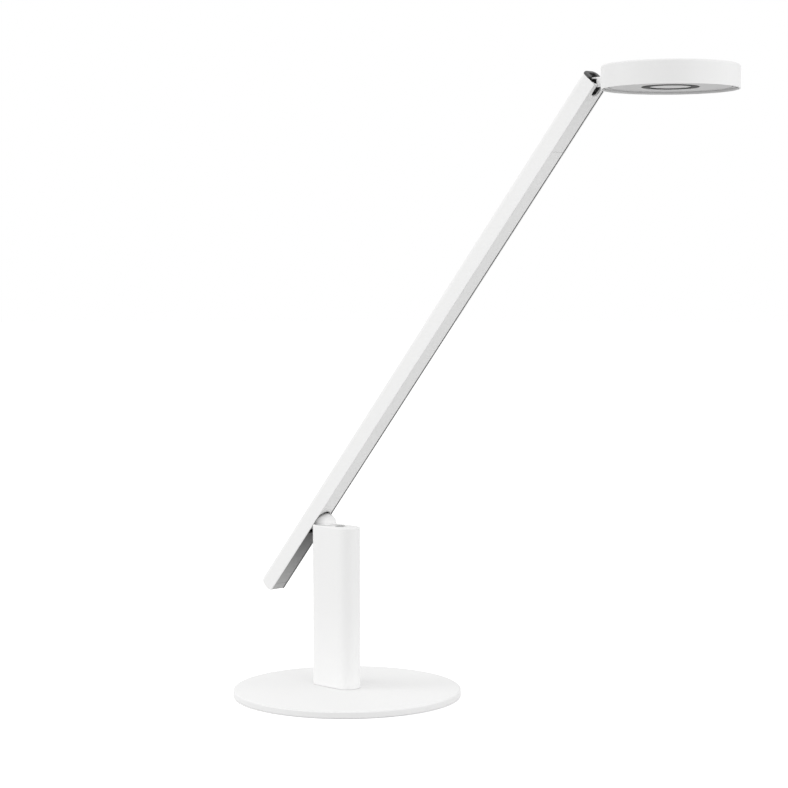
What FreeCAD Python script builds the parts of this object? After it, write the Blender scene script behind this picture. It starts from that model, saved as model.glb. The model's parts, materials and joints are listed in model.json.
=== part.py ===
"""Swing arm desk lamp, modelled as the pieces it comes apart into.

A round foot carries an oblong column. A domed turret turns on the rear round end of the column
top and carries a long arm, a channel profile closed by cover strips, which tilts on an axle in the
turret like a see-saw. A neck hinged in the arm's upper end carries a flat round LED head.

Frame: millimetres, +Z up, origin at the centre of the foot's underside. The arm points to +X.
Each node is written to parts/NODE.step.
"""
import FreeCAD
import Part
import math
import os

V = FreeCAD.Vector
Y_AXIS = V(0, 1, 0)
Z_AXIS = V(0, 0, 1)

# ---------------------------------------------------------------- clearances
run_gap = 0.05          # radial or side gap of a running fit
seat_gap = 0.1          # gap round a piece that is pushed into its seat
swing_gap = 0.3         # gap to a piece that swings past
thread_gap = 0.03       # gap between a screw and its tapped hole
thread_run = 0.5        # depth of a tapped hole beyond its screw

# ---------------------------------------------------------------- foot
base_r = 100.0
base_t = 6.0
base_rim = 1.3          # rounding of the top rim
base_edge = 0.4         # rounding of the bottom edge
pad_t = 0.5
pad_inset = 4.0
base_top = pad_t + base_t

# ---------------------------------------------------------------- column
column_w = 23.0         # across the flat sides, and the diameter of the round ends
column_span = 27.0      # between the centres of the round ends
column_h = 142.0        # from the base to the top
column_wall = 2.5
column_roof = 6.0
column_rim = 1.0        # rounding of the top rim
column_lift = 0.2       # shadow line between the column and the base
plug_h = 10.0           # block that closes the column's foot
boss_h = 15.0           # cross bosses above the plug, tapped for the column screws
boss_l = 7.0
column_top = base_top + column_h
roof_z = column_top - column_roof
plug_top = base_top + plug_h
boss_top = plug_top + boss_h

# ---------------------------------------------------------------- screws: shank radius, head radius, head height
plate_screw = (2.0, 3.8, 2.0)
column_screw = (1.5, 2.9, 1.6)
small_screw = (1.0, 1.9, 1.1)
grub_r = 2.0
grub_l = 8.0
hex_key_r = 1.1
plate_screw_tip = 1.5   # from the screw's end to the top of the plug
column_screw_tip = 4.0  # from the screw's end to the top of the cross bosses
column_screw_wall = 4.5  # from the front column screw's axis to the inner wall

# ---------------------------------------------------------------- swivel on the rear round end
swivel_x = -column_span
swivel_limit = 45.0     # degrees to each side
shank_r = 6.0
shank_flat = 5.0        # half-distance between the two flats that key the stop washer
shank_bore_r = 2.2
bush_wall = 1.5
bush_flange_r = 9.2
bush_flange_t = 0.4
stop_r = 8.3
stop_t = 1.6
stop_notch_r = 6.8
stop_rib_half = 1.4
stop_play = 2.0         # degrees left at each end of the swivel
spring_t = 0.8
spring_rise = 0.5
nut_h = 5.0
nut_flats = 14.6

# ---------------------------------------------------------------- dome and tilt axle
dome_r = 9.7
dome_foot_r = 9.9
dome_foot_h = 1.6
dome_flare = (0.25, 0.42)  # inward offset and relative height of the foot's concave arc
tilt_rise = 4.0         # tilt axis above the column top
tilt_limit = 49.0       # degrees forwards from the steepest position
axle_r = 2.0
axle_head_r = 2.9
axle_head_h = 1.5
axle_head_depth = 1.3   # the head's outer face below the dome's flank
axle_reach = 3.4        # thread length in the blind cheek
washer_t = 0.35
lug_t = 6.0
lug_r = 3.7
lug_half = 3.3
lug_root = 1.0          # the lug's reach into the block
lug_slot_play = 2.0     # degrees left between the lug and its slot
tilt_z = column_top + tilt_rise

# ---------------------------------------------------------------- arm: s along it from the tilt axis, v up from its open face
arm_angle = 49.05       # above the horizontal at rest
arm_w = 16.3
arm_d = 17.0
arm_back_r = 5.0
arm_lip_r = 0.3
flange_t = 0.8
web_t = 2.0
inner_r = 3.4
ledge_w = 0.6
ledge_v = 2.2
ledge_t = 0.8
arm_head_s = 477.1      # upper end
arm_tail_s = -97.0      # lower end at mid-depth
tail_r = 14.0           # the lower end is cut round
tail_sag = 0.5          # centre of that round cut, below mid-depth
pivot_drop = 3.3        # tilt axis below the open face
slot_tail_s = -20.4     # ends of the opening for the hub
slot_head_s = 6.4
hollow_r = 6.75         # the main cover's lower end is hollowed round the dome
horn_s = 1.0            # ends of the two horns beside that hollow
seam_s = 411.4
seam_gap = 0.3
cover_recess = 0.5
cover_side_gap = 0.7
cover_t = 1.6
tongue_t = 0.6
hook_t = 0.8
hook_h = 0.9
cap_l = 10.0
cap_recess = 0.4

# ---------------------------------------------------------------- bracket, lead and hinge insert inside the arm
bracket_tail = 20.0
bracket_head = 18.0
block_v = 4.3           # underside of both blocks
lug_lean = 125.0        # direction of the lug, from the arm's own direction
grub_side = 1.5
grub_inset = 4.5
grub_key_l = 2.0
lead_r = 1.5
lead_side = -3.8
lead_v = 12.6
lead_seat = 9.0         # length of the lead held in each block
insert_l = 38.0
cheek_back = 5.4        # from the head axis to the bottom of the insert's slot
cheek_tip = 2.6         # from the head axis to the cheeks' free ends
nose_v = 8.5
nose_t = 1.6
nose_round = 1.0

# ---------------------------------------------------------------- head hinge and neck
head_axis_back = 5.0    # from the arm's end
head_axis_v = 9.2
head_fold = 40.0        # degrees down from level; upwards the neck comes in line with the arm
head_axle_r = 1.75
head_washer_t = 0.4
neck_w = 6.4
neck_h = 7.8
neck_rise = 0.4         # the neck's mid-height above the head axis
neck_eye_r = 4.6
neck_round = 0.8
neck_l = 25.3           # from the head axis to the head's wall
neck_tail = 8.0         # length of the tongue inside the head, up to the middle of its foot
neck_foot_w = 18.0
neck_foot_l = 20.0
neck_foot_t = 4.6
neck_foot_lead = 5.0    # the foot's start before the tongue's end
neck_screw_inset = (5.0, 4.5)
tongue_w = 4.4
shroud_t = 1.3          # roof of the neck's cover
shroud_back = 8.5       # from the head axis to the cover's side walls
shroud_seat = 1.2       # the cover's reach into the head's wall
shroud_lip = (0.3, 0.5)  # snap lips under the tongue: reach, height
notch_w = 7.4
notch_play = 2.3        # left under the neck when it is folded down

# ---------------------------------------------------------------- head
head_r = 51.8
head_h = 17.8
head_wall = 1.6
head_roof = 1.8
head_rim = 1.6
lip_t = 0.9
lip_h = 1.7
bezel_w = 6.2           # from the head's outline to the bezel's bore
bezel_t = 1.2
diffuser_t = 2.0
diffuser_in_r = 21.7
diffuser_gap = 0.15
ring_in_r = 15.6
ring_out_r = 21.5
ring_proud = 0.3
sleeve_r = 18.6
disc_t = 1.2
disc_recess = 0.4
disc_seat = (1.5, 0.8)  # ledge over the disc: width, height
sleeve_t = 1.6
cup_web_t = 0.6
cup_lip_w = 1.1
cup_room = 2.6          # height of the light chamber
chip_count = 24
chip_size = 3.0
chip_t = 0.5
chip_hole_r = 2.5
board_in_r = 15.2
board_margin = 1.0      # the board's edge inside the heat sink's
board_t = 1.6
sink_margin = 4.8       # the heat sink's edge inside the head's outline
sink_t = 2.0
fin_count = 28
fin_t = 1.2
fin_h = 4.6
fin_in_r = 16.0
fin_margin = 1.5
fin_root = 0.2          # the fins' foot in the disc
sink_skin = 0.2         # left under the tapped holes for the neck screws
head_boss_r = 3.4
head_boss_margin = 7.0  # the bosses' axes inside the heat sink's edge
head_boss_angles = (0.0, 110.0, 250.0)
head_screw_grip = 4.0
bezel_in_r = head_r - bezel_w
chip_ring_r = (diffuser_in_r + bezel_in_r) / 2
sink_r = head_r - sink_margin
board_out_r = sink_r - board_margin
fin_out_r = sink_r - fin_margin
head_boss_ring = sink_r - head_boss_margin

# ---------------------------------------------------------------- button, boards and inlet
button_x = -8.5
button_r = 4.5
button_gap = 0.3
button_sink = 1.0       # the cap's face below the column top
button_travel = 0.6
button_flange = 1.0
button_flange_t = 0.8
button_seat = 3.0       # roof left above the flange's pocket
button_edge = 0.4
post_roof = 0.8         # roof above the board screws
stem_r = 1.6
stem_l = 1.6
switch_w = 6.2
switch_h = 3.4
plunger_l = 2.2
board_post_r = 2.2
switch_board_t = 1.2
switch_board_l = 20.0
switch_board_w = 13.0
post_reach = 7.6        # from the button's axis to each board screw
driver_l = 30.0
driver_h = 70.0
driver_t = 1.6
driver_side = -2.4      # Y of the driver board's face
driver_seat = 2.0       # depth of the groove that holds its lower edge
transformer = (16.0, 7.0, 16.0)
winding = (11.0, 8.5, 12.0)
transformer_z = 0.66 * driver_h
capacitor_r = 2.8
capacitor_l = 7.5
capacitor_pitch = 7.0
capacitor_side = 6.0    # the capacitors' axes beside the board's middle
capacitor_z = 0.26 * driver_h
coil_r = 4.5
coil_t = 4.0
coil_side = -4.0
coil_z = 0.89 * driver_h
socket_z = 23.5
socket_bore_r = 3.2
socket_bore_l = 9.0
socket_neck_r = 4.2
socket_neck_l = 3.2
socket_body_w = 9.4
socket_body_h = 11.0
socket_body_l = 10.5
contact_r = 1.0
contact_back = 1.4      # the contact's tip behind the mouth


# ================================================================ helpers
def outline(plane, start, *steps):
    """Closed face. A step is a point, or a pair (point on the arc, end point)."""
    edges = []
    here = start
    for step in steps + (start,):
        if isinstance(step[0], tuple):
            middle, end = step
            edges.append(Part.Arc(plane(*here), plane(*middle), plane(*end)).toShape())
            here = end
        elif step != here:
            edges.append(Part.makeLine(plane(*here), plane(*step)))
            here = step
    return Part.Face(Part.Wire(edges))


def side(x, z):
    """Point in the lamp's plane of symmetry."""
    return V(x, 0, z)


def section(u, v):
    """Point in a cross-section of the arm."""
    return V(0, u, v)


def on_circle(centre, radius, angle):
    """Point of a circle, with the angle in degrees."""
    turn = math.radians(angle)
    return (centre[0] + radius * math.cos(turn), centre[1] + radius * math.sin(turn))


def moved(shape, x=0.0, y=0.0, z=0.0):
    copy = shape.copy()
    copy.translate(V(x, y, z))
    return copy


def cut(shape, *tools):
    for tool in tools:
        shape = shape.cut(tool)
    return shape


def fused(*shapes):
    whole = shapes[0].multiFuse(list(shapes[1:]))
    return whole.removeSplitter()


def box(x0, x1, y0, y1, z0, z1):
    return Part.makeBox(x1 - x0, y1 - y0, z1 - z0, V(x0, y0, z0))


def rod(radius, start, end):
    """Cylinder between two points."""
    way = end.sub(start)
    return Part.makeCylinder(radius, way.Length, start, way)


def upright(radius, x, y, z0, z1):
    return rod(radius, V(x, y, z0), V(x, y, z1))


def ring(inner, outer, z0, z1, x=0.0, y=0.0):
    return upright(outer, x, y, z0, z1).cut(upright(inner, x, y, z0 - 1, z1 + 1))


def cross_ring(inner, outer, y0, y1, x, z):
    """Ring about an axis that runs across the lamp."""
    body = rod(outer, V(x, y0, z), V(x, y1, z))
    return body.cut(rod(inner, V(x, y0 - 1, z), V(x, y1 + 1, z)))


def turned(face, x):
    """Body turned about the upright axis at x from a half-section."""
    return face.revolve(V(x, 0, 0), Z_AXIS, 360)


def across(face, width):
    """Body of a side view, centred on the plane of symmetry."""
    return moved(face, y=-width / 2).extrude(V(0, width, 0))


def stadium(radius, z0, z1):
    """Upright prism with the column's round ends, of another radius."""
    face = outline(
        lambda x, y: V(x, y, z0),
        (swivel_x, radius), (0.0, radius),
        ((radius, 0.0), (0.0, -radius)),
        (swivel_x, -radius),
        ((swivel_x - radius, 0.0), (swivel_x, radius)),
    )
    return face.extrude(V(0, 0, z1 - z0))


def edges_at(shape, height):
    """Edges that lie wholly at one height."""
    found = []
    for edge in shape.Edges:
        bounds = edge.BoundBox
        if abs(bounds.ZMin - height) < 1e-4 and abs(bounds.ZMax - height) < 1e-4:
            found.append(edge)
    return found


def sunk_screw(size, x, y, face_z, length):
    """Countersunk screw driven upwards from a face, with a cross-hole for the key."""
    shank, head, height = size
    cone = Part.makeCone(head, shank, height, V(x, y, face_z), Z_AXIS)
    body = cone.fuse(upright(shank, x, y, face_z + height, face_z + length))
    return body.cut(upright(hex_key_r, x, y, face_z - 1, face_z + height * 0.8))


def sunk_hole(size, x, y, face_z, length):
    """Room for a countersunk screw, through to the end of its shank."""
    shank, head, height = size
    wide = head + seat_gap
    cone = Part.makeCone(wide, shank + seat_gap, height, V(x, y, face_z), Z_AXIS)
    return cone.fuse(upright(shank + seat_gap, x, y, face_z + height, face_z + length))


# ================================================================ foot
inner_stadium_r = column_w / 2 - column_wall
plate_screw_xs = (swivel_x - plate_screw[0] * 1.5, swivel_x / 3)
column_screw_xs = (swivel_x * 0.72, inner_stadium_r - column_screw_wall)
plate_screw_l = base_t + plug_h - plate_screw_tip
column_screw_l = base_t + plug_h + boss_h - column_screw_tip


def base_pad():
    return upright(base_r - pad_inset, 0, 0, 0, pad_t)


def base_plate():
    plate = upright(base_r, 0, 0, pad_t, base_top)
    plate = plate.makeFillet(base_rim, edges_at(plate, base_top))
    plate = plate.makeFillet(base_edge, edges_at(plate, pad_t))
    for x in plate_screw_xs:
        plate = plate.cut(sunk_hole(plate_screw, x, 0, pad_t, base_t + 1))
    for x in column_screw_xs:
        plate = plate.cut(sunk_hole(column_screw, x, 0, pad_t, base_t + 1))
    return plate


def base_screws():
    return Part.makeCompound([sunk_screw(plate_screw, x, 0, pad_t, plate_screw_l) for x in plate_screw_xs])


def column_screws():
    return Part.makeCompound([sunk_screw(column_screw, x, 0, pad_t, column_screw_l) for x in column_screw_xs])


def column_plug():
    """Block between the base and the column's bosses."""
    plug = stadium(inner_stadium_r - seat_gap, base_top, plug_top)
    for x in plate_screw_xs:
        plug = plug.cut(upright(plate_screw[0] + thread_gap, x, 0, base_top - 1,
                               pad_t + plate_screw_l + thread_run))
    for x in column_screw_xs:
        plug = plug.cut(upright(column_screw[0] + seat_gap, x, 0, base_top - 1, plug_top + 1))
    return plug


# ================================================================ column
stop_rib_z = roof_z - stop_t - run_gap
driver_x = swivel_x / 2 - driver_l / 2
post_xs = (button_x - post_reach, button_x + post_reach)
button_pocket_z = column_top - button_seat
flange_top = button_pocket_z - run_gap
flange_bottom = flange_top - button_flange_t
stem_bottom = flange_bottom - stem_l
switch_top = stem_bottom - button_travel - run_gap
switch_board_top = switch_top - switch_h
post_screw_top = roof_z - post_roof


def socket_room():
    """Opening in the rear wall for the neck of the inlet."""
    rear = swivel_x - column_w / 2
    return rod(socket_neck_r + seat_gap, V(rear - 1, 0, socket_z), V(rear + column_wall + 1, 0, socket_z))


def column_shell():
    shell = stadium(column_w / 2, base_top + column_lift, column_top)
    shell = shell.makeFillet(column_rim, edges_at(shell, column_top))
    shell = shell.cut(stadium(inner_stadium_r, base_top, roof_z))
    for x in column_screw_xs:
        across_bore = inner_stadium_r + column_wall / 2
        boss = box(x - boss_l / 2, x + boss_l / 2, -across_bore, across_bore, plug_top, boss_top)
        boss = boss.common(stadium(across_bore, plug_top, boss_top))
        tapped = upright(column_screw[0] + thread_gap, x, 0, plug_top - 1,
                         pad_t + column_screw_l + thread_run)
        shell = shell.fuse(boss.cut(tapped))
    groove = box(driver_x - seat_gap, driver_x + driver_l + seat_gap,
                 driver_side - seat_gap, driver_side + driver_t + seat_gap,
                 boss_top - driver_seat, boss_top + 1)
    shell = shell.cut(groove)
    for x in post_xs:
        shell = shell.fuse(upright(board_post_r, x, 0, switch_board_top, roof_z))
    rib = box(swivel_x + stop_notch_r + swing_gap, swivel_x + stop_r + 1.0,
              -stop_rib_half, stop_rib_half, stop_rib_z, roof_z)
    shell = shell.fuse(rib)
    for x in post_xs:
        shell = shell.cut(upright(small_screw[0] + thread_gap, x, 0, switch_board_top - 1, post_screw_top + 0.3))
    shell = cut(
        shell,
        upright(shank_r + run_gap + bush_wall, swivel_x, 0, roof_z, column_top + 1),
        upright(button_r + button_gap, button_x, 0, roof_z - 1, column_top + 1),
        upright(button_r + button_flange + button_gap, button_x, 0, roof_z - 1, button_pocket_z),
        socket_room(),
    )
    return shell.removeSplitter()


def swivel_bush():
    bore = shank_r + run_gap
    sleeve = upright(bore + bush_wall, swivel_x, 0, roof_z, column_top)
    flange = upright(bush_flange_r, swivel_x, 0, column_top, column_top + bush_flange_t)
    whole = fused(sleeve, flange)
    return whole.cut(upright(bore, swivel_x, 0, roof_z - 1, column_top + bush_flange_t + 1))


# ================================================================ button and boards
button_top = column_top - button_sink


def power_button():
    cap = upright(button_r, button_x, 0, flange_bottom, button_top)
    cap = cap.makeFillet(button_edge, edges_at(cap, button_top))
    flange = upright(button_r + button_flange, button_x, 0, flange_bottom, flange_top)
    stem = upright(stem_r, button_x, 0, stem_bottom, flange_bottom)
    return fused(cap, flange, stem)


def switch_plunger():
    """Rod of the snap switch, which rises and falls with the button."""
    return upright(stem_r, button_x, 0, stem_bottom - plunger_l, stem_bottom)


def snap_switch():
    half = switch_w / 2
    body = box(button_x - half, button_x + half, -half, half, switch_board_top, switch_top)
    well = upright(stem_r + run_gap, button_x, 0, switch_top - plunger_l, switch_top + 1)
    return body.cut(well)


def switch_board():
    z0 = switch_board_top - switch_board_t
    half_l = switch_board_l / 2
    half_w = switch_board_w / 2
    board = box(button_x - half_l, button_x + half_l, -half_w, half_w, z0, switch_board_top)
    for x in post_xs:
        board = board.cut(upright(small_screw[0] + seat_gap, x, 0, z0 - 1, switch_board_top + 1))
    return board


def board_screws():
    screws = []
    for x in post_xs:
        z0 = switch_board_top - switch_board_t
        head = upright(small_screw[1], x, 0, z0 - small_screw[2], z0)
        shank = upright(small_screw[0], x, 0, z0, post_screw_top)
        key = upright(hex_key_r * 0.6, x, 0, z0 - small_screw[2] - 1, z0 - small_screw[2] / 2)
        screws.append(head.fuse(shank).cut(key))
    return Part.makeCompound(screws)


def on_driver_board(size, height):
    """Box of that length, thickness and height on the driver board, centred at a height."""
    length, depth, tall = size
    middle = driver_x + driver_l / 2
    face_y = driver_side + driver_t
    return box(middle - length / 2, middle + length / 2, face_y, face_y + depth, height - tall / 2, height + tall / 2)


def driver_board():
    """Board on edge in the grooves of the two bosses, with its transformer, capacitors and coil."""
    z0 = boss_top - driver_seat
    face_y = driver_side + driver_t
    middle = driver_x + driver_l / 2
    parts = [
        box(driver_x, driver_x + driver_l, driver_side, face_y, z0, z0 + driver_h),
        on_driver_board(transformer, z0 + transformer_z),
        on_driver_board(winding, z0 + transformer_z),
        rod(coil_r, V(middle + coil_side, face_y, z0 + coil_z), V(middle + coil_side, face_y + coil_t, z0 + coil_z)),
    ]
    for step in range(3):
        x = middle + capacitor_side
        z = z0 + capacitor_z + capacitor_pitch * step
        parts.append(rod(capacitor_r, V(x, face_y, z), V(x, face_y + capacitor_l, z)))
    return fused(*parts)


def power_inlet():
    """Low-voltage socket behind the rear wall."""
    rear = swivel_x - column_w / 2
    mouth = rear + seat_gap
    wall_in = rear + socket_neck_l
    neck = rod(socket_neck_r, V(mouth, 0, socket_z), V(wall_in, 0, socket_z))
    half_w = socket_body_w / 2
    half_h = socket_body_h / 2
    body = box(wall_in, wall_in + socket_body_l, -half_w, half_w, socket_z - half_h, socket_z + half_h)
    body = body.common(stadium(inner_stadium_r - seat_gap, socket_z - half_h, socket_z + half_h))
    bore = rod(socket_bore_r, V(mouth - 1, 0, socket_z), V(mouth + socket_bore_l, 0, socket_z))
    return fused(neck, body).cut(bore)


def inlet_contact():
    mouth = swivel_x - column_w / 2 + seat_gap
    return rod(contact_r, V(mouth + contact_back, 0, socket_z), V(mouth + socket_bore_l, 0, socket_z))


# ================================================================ turret
turret_z = column_top + bush_flange_t + run_gap
stop_top = roof_z - run_gap
stop_bottom = stop_top - stop_t
spring_bottom = stop_bottom - spring_t - spring_rise
nut_bottom = spring_bottom - nut_h
shank_bottom = nut_bottom - 1.0
cheek_y = lug_t / 2 + run_gap + washer_t


def tilt_point(distance, angle):
    """Point at a distance and an angle from the tilt axis, in the plane of symmetry."""
    return on_circle((swivel_x, tilt_z), distance, angle)


def lug_slot():
    """Room in the dome for the lug, from its rest direction to the one of the level arm."""
    clear = lug_r + swing_gap
    lug_up = 180.0 - (lug_lean + arm_angle)
    steepest = 180.0 - (lug_up + tilt_limit) - lug_slot_play
    front = tilt_point(clear, steepest - 90.0)
    turn = math.radians(steepest)
    far = dome_foot_r * 2
    top = (front[0] + far * math.cos(turn), front[1] + far * math.sin(turn))
    below = tilt_point(clear, 270.0)
    slot = outline(
        side,
        below, (swivel_x - far, below[1]), (swivel_x - far, top[1]), top, front,
        (tilt_point(clear, (steepest - 90.0 - 90.0) / 2), below),
    )
    return across(slot, 2 * cheek_y)


def flange_sweep():
    """Room beside the dome for the arm's flanges at every tilt."""
    clear = pivot_drop - swing_gap
    far = 4 * dome_r
    along = math.radians(arm_angle)
    steep = tilt_point(clear, 90.0 + arm_angle)
    level = tilt_point(clear, 90.0)
    low = (steep[0] - far * math.cos(along), steep[1] - far * math.sin(along))
    room = outline(
        side,
        (level[0] + far, level[1]), (level[0] + far, level[1] + far), (low[0], level[1] + far), low, steep,
        (tilt_point(clear, 90.0 + arm_angle / 2), level),
    )
    inner = arm_w / 2 - flange_t - swing_gap
    outer = dome_r * 2
    body = moved(room, y=inner).extrude(V(0, outer, 0))
    return body.fuse(body.mirror(V(0, 0, 0), Y_AXIS))


def dome_half_width():
    """Half-width of the dome at the height of the tilt axis."""
    return math.sqrt(dome_r ** 2 - tilt_rise ** 2)


def turret_dome():
    """Dome with its keyed shank, the slot for the lug and the axle holes."""
    rise = dome_foot_h + bush_flange_t
    shoulder = (swivel_x + math.sqrt(dome_r ** 2 - rise ** 2), column_top + rise)
    crown = on_circle((swivel_x, column_top), dome_r, 45.0)
    flare = (swivel_x + dome_r - dome_flare[0], column_top + rise * dome_flare[1])
    half = outline(
        side,
        (swivel_x, shank_bottom), (swivel_x + shank_r, shank_bottom), (swivel_x + shank_r, turret_z),
        (swivel_x + dome_foot_r, turret_z), (flare, shoulder), (crown, (swivel_x, column_top + dome_r)),
    )
    body = turned(half, swivel_x)
    wide = 2 * shank_r
    for y0, y1 in ((shank_flat, wide), (-wide, -shank_flat)):
        body = body.cut(box(swivel_x - wide, swivel_x + wide, y0, y1, shank_bottom - 1, stop_top))
    head_y = dome_half_width() - axle_head_depth - axle_head_h
    body = cut(
        body,
        lug_slot(),
        flange_sweep(),
        upright(shank_bore_r, swivel_x, 0, shank_bottom - 1, tilt_z),
        rod(axle_r + thread_gap, V(swivel_x, -cheek_y - axle_reach, tilt_z), V(swivel_x, dome_r, tilt_z)),
        rod(axle_head_r + seat_gap, V(swivel_x, head_y, tilt_z), V(swivel_x, dome_r, tilt_z)),
    )
    return body


def keyed_hole(z0, z1):
    """Hole that fits the shank and its two flats."""
    clear = shank_r + run_gap
    flat = shank_flat + run_gap
    return upright(clear, swivel_x, 0, z0, z1).common(
        box(swivel_x - clear, swivel_x + clear, -flat, flat, z0, z1))


def stop_washer():
    """Washer keyed to the shank, with a sector cut out that meets the column's stop rib."""
    reach = swivel_limit + stop_play
    reach += math.degrees(math.asin(stop_rib_half / (stop_notch_r + swing_gap)))
    far = stop_r * 3
    sector = outline(
        lambda x, y: V(x, y, stop_bottom - 1),
        (swivel_x, 0.0),
        on_circle((swivel_x, 0.0), far, -reach),
        (on_circle((swivel_x, 0.0), far, 0.0), on_circle((swivel_x, 0.0), far, reach)),
    ).extrude(V(0, 0, stop_t + 2))
    sector = sector.cut(upright(stop_notch_r, swivel_x, 0, stop_bottom - 2, stop_top + 2))
    disc = upright(stop_r, swivel_x, 0, stop_bottom, stop_top)
    return cut(disc, sector, keyed_hole(stop_bottom - 1, stop_top + 1))


def disc_spring():
    """Conical spring washer that keeps the swivel tight."""
    inner = shank_r + seat_gap
    section_face = outline(
        side,
        (swivel_x + inner, stop_bottom - spring_t), (swivel_x + inner, stop_bottom),
        (swivel_x + stop_r, stop_bottom - spring_rise), (swivel_x + stop_r, spring_bottom),
    )
    return turned(section_face, swivel_x)


def spindle_nut():
    corner = nut_flats / 2 / math.cos(math.radians(30))
    points = [on_circle((swivel_x, 0.0), corner, 60.0 * i) for i in range(6)]
    hexagon = outline(lambda x, y: V(x, y, nut_bottom), *points).extrude(V(0, 0, nut_h))
    return hexagon.cut(upright(shank_r + thread_gap, swivel_x, 0, nut_bottom - 1, spring_bottom + 1))


def tilt_axle():
    """Screw that carries the lug, with its head sunk in the far cheek."""
    head_y = dome_half_width() - axle_head_depth - axle_head_h
    shank = rod(axle_r, V(swivel_x, 0.5 - cheek_y - axle_reach, tilt_z), V(swivel_x, head_y, tilt_z))
    head = rod(axle_head_r, V(swivel_x, head_y, tilt_z), V(swivel_x, head_y + axle_head_h, tilt_z))
    key = rod(hex_key_r, V(swivel_x, head_y + 0.3, tilt_z), V(swivel_x, head_y + axle_head_h + 1, tilt_z))
    return shank.fuse(head).cut(key)


def tilt_washers():
    outer = lug_r - seat_gap
    near = cross_ring(axle_r + run_gap, outer, -cheek_y, washer_t - cheek_y, swivel_x, tilt_z)
    far = cross_ring(axle_r + run_gap, outer, cheek_y - washer_t, cheek_y, swivel_x, tilt_z)
    return Part.makeCompound([near, far])


# ================================================================ arm, drawn lying along +X with its open face down
inner_half = arm_w / 2 - flange_t
inner_top = arm_d - web_t
head_axis_s = arm_head_s - head_axis_back


def arm_placement():
    """From the arm's own frame (s, u, v) to the lamp's frame."""
    turn = FreeCAD.Rotation(Y_AXIS, -arm_angle)
    drop = turn.multVec(V(0, 0, pivot_drop))
    return FreeCAD.Placement(V(swivel_x, 0, tilt_z).add(drop), turn)


def on_arm(shape):
    copy = shape.copy()
    copy.Placement = arm_placement().multiply(copy.Placement)
    return copy


def along_arm(face, s0, s1):
    return moved(face, x=s0).extrude(V(s1 - s0, 0, 0))


def corner(centre_u, centre_v, radius, angle):
    """Middle of a rounded corner."""
    return on_circle((centre_u, centre_v), radius, angle)


def profile_section():
    """Channel with rounded back corners, thin flanges and a ledge inside each flange."""
    half = arm_w / 2
    back = half - arm_back_r
    top = arm_d - arm_back_r
    deep = inner_half - inner_r
    roof = inner_top - inner_r
    ledge_u = inner_half - ledge_w
    ledge_top = ledge_v + ledge_t
    return outline(
        section,
        (-half, arm_lip_r), (-half, top),
        (corner(-back, top, arm_back_r, 135), (-back, arm_d)), (back, arm_d),
        (corner(back, top, arm_back_r, 45), (half, top)), (half, arm_lip_r),
        (corner(half - arm_lip_r, arm_lip_r, arm_lip_r, -45), (half - arm_lip_r, 0.0)), (inner_half, 0.0),
        (inner_half, ledge_v), (ledge_u, ledge_v), (ledge_u, ledge_top), (inner_half, ledge_top),
        (inner_half, roof), (corner(deep, roof, inner_r, 45), (deep, inner_top)), (-deep, inner_top),
        (corner(-deep, roof, inner_r, 135), (-inner_half, roof)),
        (-inner_half, ledge_top), (-ledge_u, ledge_top), (-ledge_u, ledge_v), (-inner_half, ledge_v),
        (-inner_half, 0.0), (-half + arm_lip_r, 0.0),
        (corner(-half + arm_lip_r, arm_lip_r, arm_lip_r, 225), (-half, arm_lip_r)),
    )


def tail_bounds(recess):
    """Everything on the head side of the round lower end."""
    middle_s = arm_tail_s + tail_r
    middle_v = arm_d / 2 - tail_sag
    drum = rod(tail_r - recess, V(middle_s, -arm_w, middle_v), V(middle_s, arm_w, middle_v))
    return drum.fuse(box(middle_s, arm_head_s + 1, -arm_w, arm_w, middle_v - tail_r, middle_v + tail_r))


def rim_sweep():
    """Room for the column's rear rim, which passes under the arm at every swivel."""
    room = upright(column_w / 2 + swing_gap, swivel_x, 0, column_top - arm_d, column_top + swing_gap)
    rim = [e for e in room.Edges if e.BoundBox.ZMin > column_top and e.BoundBox.YLength > column_w / 2]
    return room.makeFillet(column_rim + swing_gap, rim)


def arm_profile():
    """Channel with a round-cut lower end, its flanges relieved where they pass the column's rim."""
    bar = along_arm(profile_section(), arm_tail_s - 1, arm_head_s)
    return on_arm(bar.common(tail_bounds(0))).cut(rim_sweep())


def block_section():
    """Section of a block that slides into the channel above the ledges."""
    half = inner_half - seat_gap
    top = inner_top - seat_gap
    deep = half - inner_r
    roof = top - inner_r
    return outline(
        section,
        (-half, block_v), (-half, roof), (corner(-deep, roof, inner_r, 135), (-deep, top)), (deep, top),
        (corner(deep, roof, inner_r, 45), (half, roof)), (half, block_v),
    )


def end_cap():
    """Plug in the lower end, notched for the ledges and recessed a little."""
    inner = arm_tail_s - 1
    plug = along_arm(block_section(), inner, arm_tail_s + cap_l)
    narrow = inner_half - ledge_w - seat_gap
    skirt = box(inner, arm_tail_s + cap_l, -narrow, narrow, cover_recess, block_v + 1)
    return on_arm(fused(plug, skirt).common(tail_bounds(cap_recess)))


def cover_section():
    """Strip with a shadow gap at each flange, tongues under the ledges and hooks over them."""
    face_u = inner_half - cover_side_gap
    tongue_u = inner_half - seat_gap
    leg_u = inner_half - ledge_w - seat_gap
    low = cover_recess
    step = ledge_v - tongue_t
    over = ledge_v + ledge_t + run_gap
    tip = over + hook_h
    right = (
        (face_u, low), (face_u, step), (tongue_u, step), (tongue_u, ledge_v), (leg_u, ledge_v),
        (leg_u, over), (tongue_u, over), (leg_u, tip), (leg_u - hook_t, tip),
        (leg_u - hook_t, cover_recess + cover_t),
    )
    left = tuple((-u, v) for u, v in reversed(right))
    return outline(section, *(right + left))


def tail_cover():
    start = arm_tail_s + cap_l + seam_gap
    return on_arm(along_arm(cover_section(), start, slot_tail_s))


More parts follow.
